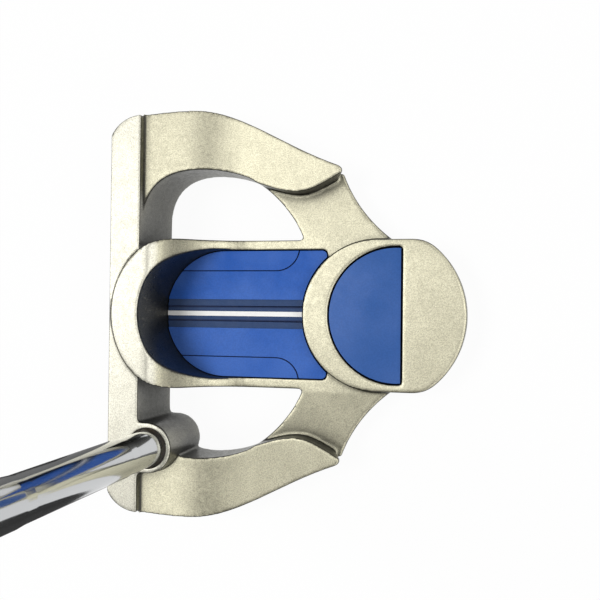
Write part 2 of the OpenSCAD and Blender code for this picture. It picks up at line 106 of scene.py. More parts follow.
# %% Node helpers
def start_finish(name):
    """A new material with its shader and the object coordinates."""
    finish = bpy.data.materials.new(name)
    finish.use_nodes = True
    tree = finish.node_tree
    place = tree.nodes.new("ShaderNodeTexCoord").outputs["Object"]
    return finish, tree, tree.nodes["Principled BSDF"], place


def span(tree, value, low, high, to_low=0.0, to_high=1.0):
    """Maps low..high smoothly to to_low..to_high."""
    made = tree.nodes.new("ShaderNodeMapRange")
    made.interpolation_type = "SMOOTHSTEP"
    for name, number in (("From Min", low), ("From Max", high), ("To Min", to_low), ("To Max", to_high)):
        made.inputs[name].default_value = number
    tree.links.new(value, made.inputs["Value"])
    return made.outputs["Result"]


def noise(tree, place, scale, detail=3.0, stretch=(1.0, 1.0, 1.0)):
    """A noise pattern with scale bumps to the metre."""
    mapping = tree.nodes.new("ShaderNodeMapping")
    mapping.inputs["Scale"].default_value = stretch
    made = tree.nodes.new("ShaderNodeTexNoise")
    made.inputs["Scale"].default_value = scale
    made.inputs["Detail"].default_value = detail
    tree.links.new(place, mapping.inputs["Vector"])
    tree.links.new(mapping.outputs["Vector"], made.inputs["Vector"])
    return made.outputs["Fac"]


def speckle(tree, place, scale, low, high, detail=3.0):
    """Noise as a value between low and high."""
    return span(tree, noise(tree, place, scale, detail), 0.3, 0.7, low, high)


def join(tree, operation, first, second):
    """Two values worked into one."""
    made = tree.nodes.new("ShaderNodeMath")
    made.operation = operation
    tree.links.new(first, made.inputs[0])
    tree.links.new(second, made.inputs[1])
    return made.outputs["Value"]


def times(tree, first, second):
    """The product of two values."""
    return join(tree, "MULTIPLY", first, second)


def plus(tree, first, second):
    """The sum of two values."""
    return join(tree, "ADD", first, second)


def shade(tree, colour, value):
    """A colour made lighter or darker by a value."""
    made = tree.nodes.new("ShaderNodeVectorMath")
    made.operation = "SCALE"
    tree.links.new(colour, made.inputs[0])
    tree.links.new(value, made.inputs["Scale"])
    return made.outputs["Vector"]


def blend(tree, share, first, second):
    """Goes from the first colour to the second. A colour is a tuple or a socket."""
    made = tree.nodes.new("ShaderNodeMix")
    made.data_type = "RGBA"
    tree.links.new(share, made.inputs[0])
    for socket, colour in ((made.inputs[6], first), (made.inputs[7], second)):
        if isinstance(colour, tuple):
            socket.default_value = (*colour, 1.0)
        else:
            tree.links.new(colour, socket)
    return made.outputs[2]


def bumps(tree, shader, height, depth, strength=1.0):
    """Raises the surface by height times depth, in metres."""
    made = tree.nodes.new("ShaderNodeBump")
    made.inputs["Distance"].default_value = depth
    made.inputs["Strength"].default_value = strength
    tree.links.new(height, made.inputs["Height"])
    tree.links.new(made.outputs["Normal"], shader.inputs["Normal"])


def split(tree, place):
    """The three parts of a place or a direction."""
    parts = tree.nodes.new("ShaderNodeSeparateXYZ")
    tree.links.new(place, parts.inputs["Vector"])
    return parts.outputs["X"], parts.outputs["Y"], parts.outputs["Z"]


def size_of(tree, value):
    """A value without its sign."""
    made = tree.nodes.new("ShaderNodeMath")
    made.operation = "ABSOLUTE"
    tree.links.new(value, made.inputs[0])
    return made.outputs["Value"]


def facing(tree):
    """The surface's direction: its x part, and how level it is, from 0 on a wall to 1 on a flat."""
    parts = split(tree, tree.nodes.new("ShaderNodeNewGeometry").outputs["Normal"])
    return parts[0], size_of(tree, parts[2])


def recess(tree, reach):
    """How open the surface is within reach, from 0 deep in a recess to 1 in the open."""
    made = tree.nodes.new("ShaderNodeAmbientOcclusion")
    made.samples = 8
    made.only_local = True
    made.inputs["Distance"].default_value = reach
    return made.outputs["AO"]


print("node helpers ready")

# %% [markdown]
# ## The cast metal
# The head is a steel casting, blasted with fine beads to a warm satin grey. Its tops are pale. Light and
# shade are painted into its colour: a highlight on the highest tops, shade on its walls, and the darkest
# shade on its rounded edges and in its recesses. The recesses, which the blast hardly reaches, are also
# roughest. The painted shade on walls and edges follows the surface's direction, and the painted shade in
# recesses follows an Ambient Occlusion node that sees this piece alone.

# %% Cast metal
CREST_HIGHLIGHT_RISE = (20.6 * MM, 22.0 * MM)
RECESS_REACH = 32.0 * MM
TOP_TONE = (0.83, 0.79, 0.59)
CREST_HIGHLIGHT = (0.86, 0.835, 0.71)
WALL_SHADE = (0.3, 0.29, 0.24)
EDGE_SHADE = (0.08, 0.078, 0.068)
RECESS_SHADE = (0.085, 0.085, 0.078)


def cast_metal():
    """Satin metal, pale on its tops, with painted light: a highlight on the highest tops, shade on walls,
    and the darkest shade on edges and in recesses.
    """
    finish, tree, shader, place = start_finish("cast_metal_satin")
    height = split(tree, place)[2]
    # Painted highlight: the highest tops are paler and whiter.
    top_with_highlight = blend(tree, span(tree, height, *CREST_HIGHLIGHT_RISE), TOP_TONE, CREST_HIGHLIGHT)
    rearward, level = facing(tree)
    open_share = recess(tree, RECESS_REACH)
    # Painted shade: walls take a darker tone, deeper still where a recess closes them in.
    walls = blend(tree, span(tree, open_share, 0.6, 0.97), RECESS_SHADE, WALL_SHADE)
    tone_with_shade = blend(tree, span(tree, level, 0.1, 0.5), walls, top_with_highlight)
    # Painted shade darkens the rounded edges. A slope that faces the tail counts as more level, so that it
    # stays pale.
    level_for_edge_shade = plus(tree, level, span(tree, rearward, 0.2, 0.7, 0.0, 0.14))
    edge = times(tree, span(tree, level_for_edge_shade, 0.94, 0.68), span(tree, level, 0.06, 0.2))
    tone_with_shade = blend(tree, edge, tone_with_shade, EDGE_SHADE)
    # Painted shade in recesses, where the Ambient Occlusion node finds the surface closed in.
    tone = blend(tree, span(tree, open_share, 0.3, 0.98), RECESS_SHADE, tone_with_shade)
    grain = times(tree, speckle(tree, place, 3400, 0.8, 1.2, 4), speckle(tree, place, 160, 0.95, 1.05))
    tree.links.new(shade(tree, tone, grain), shader.inputs["Base Color"])
    blasted = speckle(tree, place, 900, 0.27, 0.37)
    not_reached = span(tree, open_share, 0.2, 0.7, 0.35, 0.0)
    tree.links.new(plus(tree, blasted, not_reached), shader.inputs["Roughness"])
    shader.inputs["Metallic"].default_value = 1.0
    bumps(tree, shader, noise(tree, place, 2600, 1), 0.02 * MM, 0.3)
    return finish


CAST_METAL = cast_metal()
print(CAST_METAL.name, "has", len(CAST_METAL.node_tree.nodes), "nodes")

# %% [markdown]
# ## The plastics
# The cavity plate and the tail inlay are moulded in the same blue plastic. It is satin and a little
# cloudy. Each step in it shows as a thin dark line of shade, which is painted in: steep faces get a deeper
# tone. The sighting channel along the plate is painted a duller blue, and the corners of its groove are
# painted dark as shade.

# %% Blue plastic
CHANNEL_HALF = 3.95 * MM
CHANNEL_TOP = 6.72 * MM
GROOVE_HALF = 1.95 * MM
CHANNEL_PAINT = (0.024, 0.054, 0.142)
CORNER_SHADE = (0.006, 0.018, 0.07)
STEP_SHADE = (0.002, 0.006, 0.035)
PAINT_FADE = 0.1 * MM
# Where the tone along a line begins, is full, begins to fade and ends, in millimetres from the line.
CORNER_SHADE_BAND = (-0.45, -0.2, 0.15, 0.3)
BORDER_BAND = (-0.7, -0.5, 0.2, 0.4)


def along_line(tree, across, line, band):
    """1 in a band along a line on either side of the middle."""
    begins, full, fades, ends = [line + distance * MM for distance in band]
    return times(tree, span(tree, across, begins, full), span(tree, across, ends, fades))


def paint_channel(tree, place, body):
    """Paints the sighting channel, with painted shade in its groove's corners. Gives the body's new colour
    and the painted shade of its steps.
    """
    parts = split(tree, place)
    across = size_of(tree, parts[1])
    inside = span(tree, across, CHANNEL_HALF + PAINT_FADE, CHANNEL_HALF - PAINT_FADE)
    below = span(tree, parts[2], CHANNEL_TOP + PAINT_FADE / 2, CHANNEL_TOP - PAINT_FADE)
    body = blend(tree, times(tree, inside, below), body, CHANNEL_PAINT)
    # Painted shade in the corners of the groove.
    body = blend(tree, along_line(tree, across, GROOVE_HALF, CORNER_SHADE_BAND), body, CORNER_SHADE)
    # The steps take the painted shade, except along the channel's border, which keeps the paint.
    border = along_line(tree, across, CHANNEL_HALF, BORDER_BAND)
    return body, blend(tree, border, STEP_SHADE, CHANNEL_PAINT)


def blue_plastic(name, deep, clear, channel):
    """Cloudy satin plastic, with dark lines of painted shade where it is steep."""
    finish, tree, shader, place = start_finish(name)
    body = blend(tree, speckle(tree, place, 60, 0.0, 1.0), deep, clear)
    steps = STEP_SHADE
    if channel:
        body, steps = paint_channel(tree, place, body)
    level = facing(tree)[1]
    # Painted shade: steep faces take the steps' tone.
    tone = blend(tree, span(tree, level, 0.8, 0.985), steps, body)
    tree.links.new(shade(tree, tone, speckle(tree, place, 2400, 0.93, 1.07)), shader.inputs["Base Color"])
    tree.links.new(speckle(tree, place, 500, 0.38, 0.5), shader.inputs["Roughness"])
    shader.inputs["Specular IOR Level"].default_value = 0.4
    bumps(tree, shader, noise(tree, place, 2600), 0.012 * MM, 0.4)
    return finish


PLATE_PLASTIC = blue_plastic("blue_plastic_plate", (0.01, 0.083, 0.39), (0.046, 0.135, 0.475), True)
INLAY_PLASTIC = blue_plastic("blue_plastic_inlay", (0.026, 0.096, 0.325), (0.05, 0.126, 0.38), False)
print("blue plastics:", PLATE_PLASTIC.name, INLAY_PLASTIC.name)

# %% [markdown]
# ## The small finishes
# Chrome is almost a mirror, so what matters is that its roughness isn't even: faint wiping marks run
# along the tube. The other finishes are an adhesive that dried dark and glossy, white paint, grip
# rubber, the polymer of the face insert, and the films and tape that only show in a cut view.


# %% Small finishes
def chrome_finish():
    """Bright chrome with faint wiping marks along the tube."""
    finish, tree, shader, place = start_finish("chrome_bright")
    wiping = noise(tree, place, 300, 3, (1.0, 1.0, 0.06))
    tree.links.new(span(tree, wiping, 0.3, 0.75, 0.07, 0.14), shader.inputs["Roughness"])
    tone = blend(tree, noise(tree, place, 90), (0.52, 0.53, 0.54), (0.57, 0.58, 0.585))
    tree.links.new(tone, shader.inputs["Base Color"])
    shader.inputs["Metallic"].default_value = 1.0
    return finish


def mottled_finish(name, dark, light, scale, smooth, rough, depth):
    """A plain material that is mottled between two tones and two roughnesses."""
    finish, tree, shader, place = start_finish(name)
    pattern = noise(tree, place, scale, 4)
    tree.links.new(blend(tree, span(tree, pattern, 0.3, 0.7), dark, light), shader.inputs["Base Color"])
    tree.links.new(span(tree, pattern, 0.3, 0.7, smooth, rough), shader.inputs["Roughness"])
    bumps(tree, shader, pattern, depth, 0.5)
    return finish


CHROME = chrome_finish()
ADHESIVE = mottled_finish("adhesive_dark", (0.008, 0.006, 0.004), (0.03, 0.02, 0.012),
                          900, 0.25, 0.5, 0.05 * MM)
WHITE_PAINT = mottled_finish("paint_white", (0.9, 0.9, 0.89), (0.95, 0.95, 0.94),
                             700, 0.45, 0.6, 0.01 * MM)
RUBBER = mottled_finish("rubber_black", (0.012, 0.012, 0.013), (0.026, 0.026, 0.027),
                        1500, 0.62, 0.8, 0.03 * MM)
POLYMER = mottled_finish("polymer_grey", (0.025, 0.027, 0.03), (0.04, 0.042, 0.046),
                         1200, 0.4, 0.55, 0.01 * MM)
FILM = mottled_finish("film_cream", (0.55, 0.52, 0.42), (0.66, 0.63, 0.53),
                      800, 0.5, 0.7, 0.01 * MM)
TAPE = mottled_finish("tape_cream", (0.6, 0.58, 0.5), (0.7, 0.68, 0.6),
                      1000, 0.6, 0.8, 0.01 * MM)
print("small finishes ready")

# %% [markdown]
# ## Helpers for pieces
# A piece is drawn in a bmesh and then becomes an object that rides on the frame's one body. A copy of
# a CAD node starts as loose triangles, so its corners are merged before any tool can follow an edge.

# %% Piece helpers
MERGE = 0.002 * MM


def copy_of(node, flat_angle=None):
    """A merged copy of a CAD node's mesh, with its flat faces joined where an angle is given."""
    shape = bmesh.new()
    shape.from_mesh(frame["nodes"][node].data)
    bmesh.ops.remove_doubles(shape, verts=shape.verts, dist=MERGE)
    if flat_angle is not None:
        bmesh.ops.dissolve_limit(shape, angle_limit=flat_angle, verts=shape.verts, edges=shape.edges)
    return shape


def add_piece(name, shape, finish, slot, *nodes, crease=40):
    """Makes a bmesh into a piece that rides on the body and stands for CAD nodes.

    An edge that turns by more than crease degrees is shaded as sharp."""
    mesh = bpy.data.meshes.new(name)
    shape.to_mesh(mesh)
    shape.free()
    mesh.polygons.foreach_set("use_smooth", [True] * len(mesh.polygons))
    mesh.set_sharp_from_angle(angle=math.radians(crease))
    mesh.materials.append(finish)
    piece = bpy.data.objects.new(name, mesh)
    bpy.context.scene.collection.objects.link(piece)
    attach(piece, "root")
    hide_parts(*nodes)
    print(name, "has", len(mesh.polygons), "faces")
    return piece


print("piece helpers ready")

# %% [markdown]
# ## The head casting
# No edge of a casting is sharp, inside or out. Bevelling each CAD edge would fail where short edges
# crowd at the wing tips, so the copy is remeshed into small even cells, which follow the shape
# closely, and then smoothed. That rounds outer edges and fills inner corners, as metal does in a
# mould. A Decimate modifier then thins the cells where the surface is plain.

# %% Head casting
CELL = 0.3 * MM
SMOOTHING = 12
TRIANGLES = 190_000


def with_modifiers(piece):
    """Puts the result of a piece's modifiers into its mesh."""
    seen = piece.evaluated_get(bpy.context.evaluated_depsgraph_get())
    mesh = bpy.data.meshes.new_from_object(seen)
    piece.modifiers.clear()
    old = piece.data
    piece.data = mesh
    bpy.data.meshes.remove(old)


head = add_piece("head_cast_body", copy_of("head_casting"), CAST_METAL, "cast_metal", "head_casting")
cells = head.modifiers.new("cells", "REMESH")
cells.mode = "VOXEL"
cells.voxel_size = CELL
cells.use_smooth_shade = True
soften = head.modifiers.new("soften", "SMOOTH")
soften.factor = 0.5
soften.iterations = SMOOTHING
with_modifiers(head)
thin = head.modifiers.new("thin", "DECIMATE")
thin.ratio = TRIANGLES / (2 * len(head.data.polygons))
with_modifiers(head)
print("head has", len(head.data.polygons), "triangles")

# %% [markdown]
# ## The plate
# This moulding has a crisp outline, so here a bevel works, once its flat faces are joined. The upper
# edges of its low steps get a narrow chamfer, which the finish darkens with painted shade as a steep face.

# %% Plate
FLAT_ANGLE = math.radians(0.5)
LOW_STEP = 1.0 * MM
STEP_TURN = math.radians(60)
STEP_CHAMFER = 0.27 * MM
# The largest upward part of a normal that still makes a face count as a wall.
UPRIGHT = 0.1
SLACK = 0.01 * MM
NEAR_CHANNEL = 0.1 * MM
SHORT_EDGE = 0.05 * MM
CHAMFER_MERGE = 0.005 * MM


def low_steps_of(shape):
    """The upper edges of the low steps."""
    found = []
    for edge in shape.edges:
        walls = [face for face in edge.link_faces if abs(face.normal.z) < UPRIGHT]
        if len(walls) != 1 or not edge.is_convex or edge.calc_face_angle(0) < STEP_TURN:
            continue
        levels = [corner.co.z for corner in walls[0].verts]
        on_top = min(corner.co.z for corner in edge.verts) > max(levels) - SLACK
        if on_top and max(levels) - min(levels) < LOW_STEP:
            found.append(edge)
    return found


def beside_channel(edge):
    """True for the channel's own edges, which stay sharp."""
    from_middle = abs(edge.verts[0].co.y + edge.verts[1].co.y) / 2
    return abs(from_middle - CHANNEL_HALF) <= NEAR_CHANNEL


plate = copy_of("cavity_plate", FLAT_ANGLE)
bmesh.ops.dissolve_degenerate(plate, dist=SHORT_EDGE, edges=plate.edges)
steps = [edge for edge in low_steps_of(plate) if not beside_channel(edge)]
bmesh.ops.bevel(plate, geom=steps, offset=STEP_CHAMFER, offset_type="OFFSET", affect="EDGES",
                segments=1, profile=0.5, material=-1, clamp_overlap=False)
bmesh.ops.remove_doubles(plate, verts=plate.verts, dist=CHAMFER_MERGE)
print("plate has", len(steps), "step edges")
add_piece("cavity_plate_moulding", plate, PLATE_PLASTIC, "blue_plastic", "cavity_plate", crease=25)

# %% [markdown]
# ## The inlay
# The tail inlay is the same kind of moulding with soft edges, so every outer edge of it that turns
# sharply gets a round bevel.

# %% Inlay
INLAY_ROUNDING = 0.2 * MM
SHARP_ANGLE = math.radians(30)

inlay = copy_of("tail_inlay", FLAT_ANGLE)
outer = [edge for edge in inlay.edges if edge.is_manifold and edge.is_convex]
sharp = [edge for edge in outer if edge.calc_face_angle(0) > SHARP_ANGLE]
bmesh.ops.bevel(inlay, geom=sharp, offset=INLAY_ROUNDING, offset_type="OFFSET", affect="EDGES",
                segments=3, profile=0.5, material=-1, clamp_overlap=True)
print("inlay has", len(sharp), "rounded edges")
add_piece("tail_inlay_moulding", inlay, INLAY_PLASTIC, "blue_plastic", "tail_inlay", crease=25)

# %% [markdown]
# ## The shaft
# A stepped tube is one ring of edges, pulled along and widened at each step. The plating softens each
# step into a slow cone, which the reflections show as no more than a ripple. The bend is the same ring
# spun about an axis beside it. A ring of many edges keeps the chrome's reflections smooth, where the
# CAD mesh would show its facets. Solidify gives the finished skin its wall, so the tube stays hollow.

# %% Tube helpers
STEP_GROWTH = 0.2 * MM
STEP_CONE = 3.0 * MM
STEP_BLEND = 0.5 * MM


def pull_ring(shape, ring, along, centre, ratio=1.0):
    """Extrudes a ring of edges by a vector and scales the new ring about its centre."""
    made = bmesh.ops.extrude_edge_only(shape, edges=ring)["geom"]
    corners = [part for part in made if isinstance(part, bmesh.types.BMVert)]
    bmesh.ops.translate(shape, verts=corners, vec=along)
    there = Matrix.Translation(-(centre + along))
    bmesh.ops.scale(shape, verts=corners, vec=(ratio, ratio, ratio), space=there)
    new = set(corners)
    edges = [part for part in made if isinstance(part, bmesh.types.BMEdge)]
    return [edge for edge in edges if edge.verts[0] in new and edge.verts[1] in new], centre + along


def pull_steps(shape, ring, centre, radius, heading, distances, end):
    """Pulls a ring through a row of steps to the end of a straight tube."""
    gone = 0.0
    for at in distances:
        wider = (radius + STEP_GROWTH) / radius
        ring, centre = pull_ring(shape, ring, heading * (at - gone - STEP_BLEND), centre)
        ring, centre = pull_ring(shape, ring, heading * STEP_BLEND, centre)
        ring, centre = pull_ring(shape, ring, heading * STEP_CONE, centre, wider)
        ring, centre = pull_ring(shape, ring, heading * STEP_BLEND, centre)
        radius += STEP_GROWTH
        gone = at + STEP_CONE + STEP_BLEND
    ring, centre = pull_ring(shape, ring, heading * (end - gone), centre)
    return ring, centre, radius


print("each step widens the tube by", round(2 * STEP_GROWTH / MM, 2), "mm")

# %% Shaft
SOCKET = Vector((7.0, -35.3, 0.0)) * MM
TIP_HEIGHT = 6.25 * MM
TIP_RADIUS = 4.7 * MM
SHAFT_SIDES = 96
SHAFT_WALL = 0.5 * MM
STEP_PITCH = 44.5 * MM
FIRST_STEP = 36.0 * MM
BEND_HEIGHT = 98.0 * MM
BEND_RADIUS = 60.0 * MM
BEND_ANGLE = math.radians(19.0)
BEND_PARTS = 14
AFTER_BEND = 0.8 * MM
UPPER_STEPS = 10
UPPER_LENGTH = 742.1 * MM

shaft = bmesh.new()
first = bmesh.ops.create_circle(shaft, cap_ends=False, segments=SHAFT_SIDES, radius=TIP_RADIUS)
centre = SOCKET + Vector((0.0, 0.0, TIP_HEIGHT))
bmesh.ops.translate(shaft, verts=first["verts"], vec=centre)
ring = shaft.edges[:]
up = Vector((0.0, 0.0, 1.0))
low_steps = [FIRST_STEP - TIP_HEIGHT, FIRST_STEP + STEP_PITCH - TIP_HEIGHT]
ring, centre, radius = pull_steps(shaft, ring, centre, TIP_RADIUS, up, low_steps, BEND_HEIGHT - TIP_HEIGHT)
pivot = SOCKET + Vector((0.0, -BEND_RADIUS, BEND_HEIGHT))
bend = bmesh.ops.spin(shaft, geom=ring, cent=pivot, axis=(1.0, 0.0, 0.0), angle=BEND_ANGLE,
                      steps=BEND_PARTS)
ring = [part for part in bend["geom_last"] if isinstance(part, bmesh.types.BMEdge)]
turn = Matrix.Rotation(BEND_ANGLE, 3, "X")
heading = turn @ up
BEND_END = pivot + turn @ Vector((0.0, BEND_RADIUS, 0.0))
high_steps = [AFTER_BEND] + [STEP_PITCH * (step + 1) for step in range(UPPER_STEPS)]
ring, centre, radius = pull_steps(shaft, ring, BEND_END, radius, heading, high_steps, UPPER_LENGTH)
bmesh.ops.recalc_face_normals(shaft, faces=shaft.faces)
bmesh.ops.solidify(shaft, geom=shaft.faces[:], thickness=SHAFT_WALL)
add_piece("shaft_tube", shaft, CHROME, "chrome_tube", "shaft")
print("shaft ends", round(centre.z / MM), "mm up with radius", round(radius / MM, 2))

# %% [markdown]
# ## The adhesive ring
# Where the shaft enters the head, adhesive has squeezed out into a dark ring. Its section is a few
# vertices, spun once round the shaft, and its rim climbs the shaft unevenly, as wiped glue does.

# %% Adhesive ring
# Distances from the shaft's axis, and heights, in millimetres.
RING_PROFILE = ((4.95, 6.0), (4.95, 21.5), (5.4, 21.8), (5.45, 22.0), (5.2, 22.25), (4.95, 22.6),
                (4.76, 23.1), (4.6, 23.1), (4.6, 6.0))
RING_SIDES = 64
SEAM_MERGE = 0.001 * MM
SOCKET_RIM = 22.0 * MM
BROAD_WAVE = 0.35
FINE_WAVE = 0.2

bond = bmesh.new()
section = [bond.verts.new((SOCKET.x + out * MM, SOCKET.y, height * MM)) for out, height in RING_PROFILE]
for start, end in zip(section, section[1:] + section[:1]):
    bond.edges.new((start, end))
bmesh.ops.spin(bond, geom=bond.verts[:] + bond.edges[:], cent=SOCKET, axis=up, angle=math.tau,
               steps=RING_SIDES, use_merge=True)
bmesh.ops.remove_doubles(bond, verts=bond.verts, dist=SEAM_MERGE)
for corner in bond.verts:
    if corner.co.z > SOCKET_RIM:
        angle = math.atan2(corner.co.y - SOCKET.y, corner.co.x - SOCKET.x)
        climb = 1.0 + BROAD_WAVE * math.sin(2 * angle + 1.0) + FINE_WAVE * math.sin(5 * angle)
        corner.co.z = SOCKET_RIM + (corner.co.z - SOCKET_RIM) * climb
bmesh.ops.recalc_face_normals(bond, faces=bond.faces)
add_piece("adhesive_ring", bond, ADHESIVE, "bond", "hosel_bond")

# %% [markdown]
# ## The grip
# A putter grip is a tapered rubber sleeve with a flat front for the thumbs. It is drawn upright at the
# origin as rings, down its bore and up its outside, so that it closes. Its front is pressed flat, and
# every second face of the rest is inset to make the moulded pattern. One matrix then carries it to the
# upper shaft.

# %% Grip sleeve
GRIP_LENGTH = 267.0 * MM
MOUTH_RADIUS = 10.3 * MM
BUTT_RADIUS = 13.5 * MM
BORE_RADIUS = 7.55 * MM
GRIP_CAP = 4.0 * MM
SIDES = 56
ROWS = 92
PATTERN_START = 18.0 * MM
PATTERN_END = 246.0 * MM
# Heights in millimetres, and how far inside its full radius the mouth lies there.
MOUTH_ROUNDING = ((0.0, 1.0), (0.3, 0.4), (1.0, 0.0))
MOUTH_END = 1.6 * MM
BUTT_EDGE = 3.0 * MM
BUTT_RINGS = 7
# Depths below the butt in millimetres, and the radius of the dish or the vent there.
VENT = ((0.0, 4.0), (0.5, 3.2), (0.5, 1.2), (3.0, 1.1))


def taper(height):
    """The sleeve's radius at a height."""
    return MOUTH_RADIUS + (BUTT_RADIUS - MOUTH_RADIUS) * height / GRIP_LENGTH


rows = [PATTERN_START + (PATTERN_END - PATTERN_START) * row / ROWS for row in range(ROWS + 1)]
profile = [(0.0, BORE_RADIUS)]
profile += [(height * MM, MOUTH_RADIUS - inside * MM) for height, inside in MOUTH_ROUNDING]
profile += [(height, taper(height)) for height in [MOUTH_END] + rows]
for step in range(BUTT_RINGS):
    angle = math.radians(90) * step / (BUTT_RINGS - 1)
    height = GRIP_LENGTH - BUTT_EDGE + BUTT_EDGE * math.sin(angle)
    profile.append((height, BUTT_RADIUS - BUTT_EDGE + BUTT_EDGE * math.cos(angle)))
profile += [(GRIP_LENGTH - depth * MM, out * MM) for depth, out in VENT]

grip = bmesh.new()
bore_end = bmesh.ops.create_circle(grip, cap_ends=True, segments=SIDES, radius=BORE_RADIUS)
ring = grip.edges[:]
centre = Vector((0.0, 0.0, GRIP_LENGTH - GRIP_CAP))
bmesh.ops.translate(grip, verts=bore_end["verts"], vec=centre)
radius = BORE_RADIUS
for height, new_radius in profile:
    ring, centre = pull_ring(grip, ring, up * (height - centre.z), centre, new_radius / radius)
    radius = new_radius
bmesh.ops.contextual_create(grip, geom=ring)
print("grip has", len(profile), "rings")

# %% Grip pattern
GRIP_WALL = 1.0 * MM
FRONT_LEAN = (BUTT_RADIUS - MOUTH_RADIUS) / GRIP_LENGTH
FRONT_FACING = 0.75
PATTERN_BORDER = 0.25 * MM
PATTERN_DEPTH = 0.35 * MM
GRIP_BOTTOM = UPPER_LENGTH + GRIP_CAP - GRIP_LENGTH

for corner in grip.verts:
    front = BORE_RADIUS + GRIP_WALL + FRONT_LEAN * corner.co.z
    corner.co.y = min(corner.co.y, front)
bmesh.ops.recalc_face_normals(grip, faces=grip.faces)


def is_patterned(face):
    """True for every second face round the back and sides."""
    middle = face.calc_center_median()
    in_bore = math.hypot(middle.x, middle.y) < BORE_RADIUS
    if in_bore or not PATTERN_START < middle.z < PATTERN_END or face.normal.y > FRONT_FACING:
        return False
    row = int((middle.z - PATTERN_START) / (PATTERN_END - PATTERN_START) * ROWS)
    column = int((math.atan2(middle.y, middle.x) + math.pi) / math.tau * SIDES)
    return (row + column) % 2 == 0


pattern = [face for face in grip.faces if is_patterned(face)]
bmesh.ops.inset_individual(grip, faces=pattern, thickness=PATTERN_BORDER, depth=-PATTERN_DEPTH)
onto_shaft = Matrix.Translation(BEND_END + heading * GRIP_BOTTOM) @ turn.to_4x4()
bmesh.ops.transform(grip, matrix=onto_shaft, verts=grip.verts)
add_piece("grip_sleeve", grip, RUBBER, "grip_rubber", "grip", crease=32)
print("pattern has", len(pattern), "pits")

# %% [markdown]
# ## The face insert
# The insert is a rounded bar of polymer, let into the face. Its copy is turned upright and cut into
# strips with bisecting planes, and every second strip of the front is inset as a shallow groove.

# %% Face insert
FACE_LOFT = math.radians(3.0)
GROOVE_PITCH = 1.3 * MM
GROOVE_WIDTH = 0.55 * MM
GROOVE_DEPTH = 0.25 * MM
GROOVE_BORDER = 0.08 * MM
GROOVES = 9
ON_PLANE = 0.0001 * MM
ON_PITCH = 0.1
FORWARD = -0.9

insert = copy_of("face_insert", FLAT_ANGLE)
low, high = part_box("face_insert")
middle = (low + high) / 2
upright = Matrix.Translation(middle) @ Matrix.Rotation(-FACE_LOFT, 4, "Y") @ Matrix.Translation(-middle)
bmesh.ops.transform(insert, matrix=upright, verts=insert.verts)
for groove in range(GROOVES):
    for side in (-0.5, 0.5):
        height = middle.z + (groove - (GROOVES - 1) / 2) * GROOVE_PITCH + side * GROOVE_WIDTH
        everything = insert.verts[:] + insert.edges[:] + insert.faces[:]
        bmesh.ops.bisect_plane(insert, geom=everything, dist=ON_PLANE,
                               plane_co=(middle.x, 0.0, height), plane_no=(0.0, 0.0, 1.0))


def is_groove(face):
    """True for a strip of the front that becomes a groove."""
    steps = (face.calc_center_median().z - middle.z) / GROOVE_PITCH + (GROOVES - 1) / 2
    on_pitch = abs(steps - round(steps)) < ON_PITCH and -0.5 < steps < GROOVES - 0.5
    return face.normal.x < FORWARD and on_pitch


strips = [face for face in insert.faces if is_groove(face)]
bmesh.ops.inset_individual(insert, faces=strips, thickness=GROOVE_BORDER, depth=-GROOVE_DEPTH)
bmesh.ops.transform(insert, matrix=upright.inverted(), verts=insert.verts)
add_piece("face_insert_milled", insert, POLYMER, "insert_plastic", "face_insert", crease=25)
print("grooves:", len(strips))

# %% [markdown]
# ## CAD pieces that stay
# The sight line, the bonding films and the grip tape are right as they are, and only need a finish. Their
# old materials are cleared first, so that no plain colour is left on them.

# %% CAD pieces
STAYING = {"sight_line": WHITE_PAINT, "face_insert_film": FILM, "cavity_plate_film": FILM,
           "tail_inlay_film": FILM, "grip_tape": TAPE}
for name, finish in STAYING.items():
    materials = frame["nodes"][name].data.materials
    materials.clear()
    materials.append(finish)
print("dressed CAD nodes:", sorted(STAYING))

# %% [markdown]
# ## The floor
# The putter stands on a pale floor that runs to white. What the camera and the metal see of it is
# mostly a white glow, and the rest is a plain diffuse floor, which keeps the soft shadow.

# %% Floor
FLOOR_HALF = 4.0
FLOOR_DROP = 0.02 * MM

floor_shape = bmesh.new()
bmesh.ops.create_grid(floor_shape, x_segments=1, y_segments=1, size=FLOOR_HALF)
bmesh.ops.translate(floor_shape, verts=floor_shape.verts, vec=(0.0, 0.0, -FLOOR_DROP))
floor_mesh = bpy.data.meshes.new("floor")
floor_shape.to_mesh(floor_mesh)
floor_shape.free()
floor = bpy.data.objects.new("floor", floor_mesh)
bpy.context.scene.collection.objects.link(floor)
print("floor is", round(2 * FLOOR_HALF), "m wide")


# %% Floor finish
def seen_directly(tree):
    """1 for rays from the camera, from metal and through glass."""
    rays = tree.nodes.new("ShaderNodeLightPath")
    total = rays.outputs["Is Camera Ray"]
    for name in ("Is Glossy Ray", "Is Transmission Ray"):
        total = join(tree, "MAXIMUM", total, rays.outputs[name])
    return total


FLOOR_GLOW = 0.95
floor_finish = bpy.data.materials.new("floor_pale")
floor_finish.use_nodes = True
tree = floor_finish.node_tree
tree.nodes.remove(tree.nodes["Principled BSDF"])
matt = tree.nodes.new("ShaderNodeBsdfDiffuse")
matt.inputs["Color"].default_value = (0.9, 0.9, 0.9, 1.0)
glow = tree.nodes.new("ShaderNodeEmission")
glow.inputs["Strength"].default_value = 1.0
mixed = tree.nodes.new("ShaderNodeMixShader")
tree.links.new(span(tree, seen_directly(tree), 0.0, 1.0, 0.0, FLOOR_GLOW), mixed.inputs["Fac"])
tree.links.new(matt.outputs["BSDF"], mixed.inputs[1])
tree.links.new(glow.outputs["Emission"], mixed.inputs[2])
tree.links.new(mixed.outputs["Shader"], tree.nodes["Material Output"].inputs["Surface"])
floor_mesh.materials.append(floor_finish)
print("floor glow", FLOOR_GLOW)

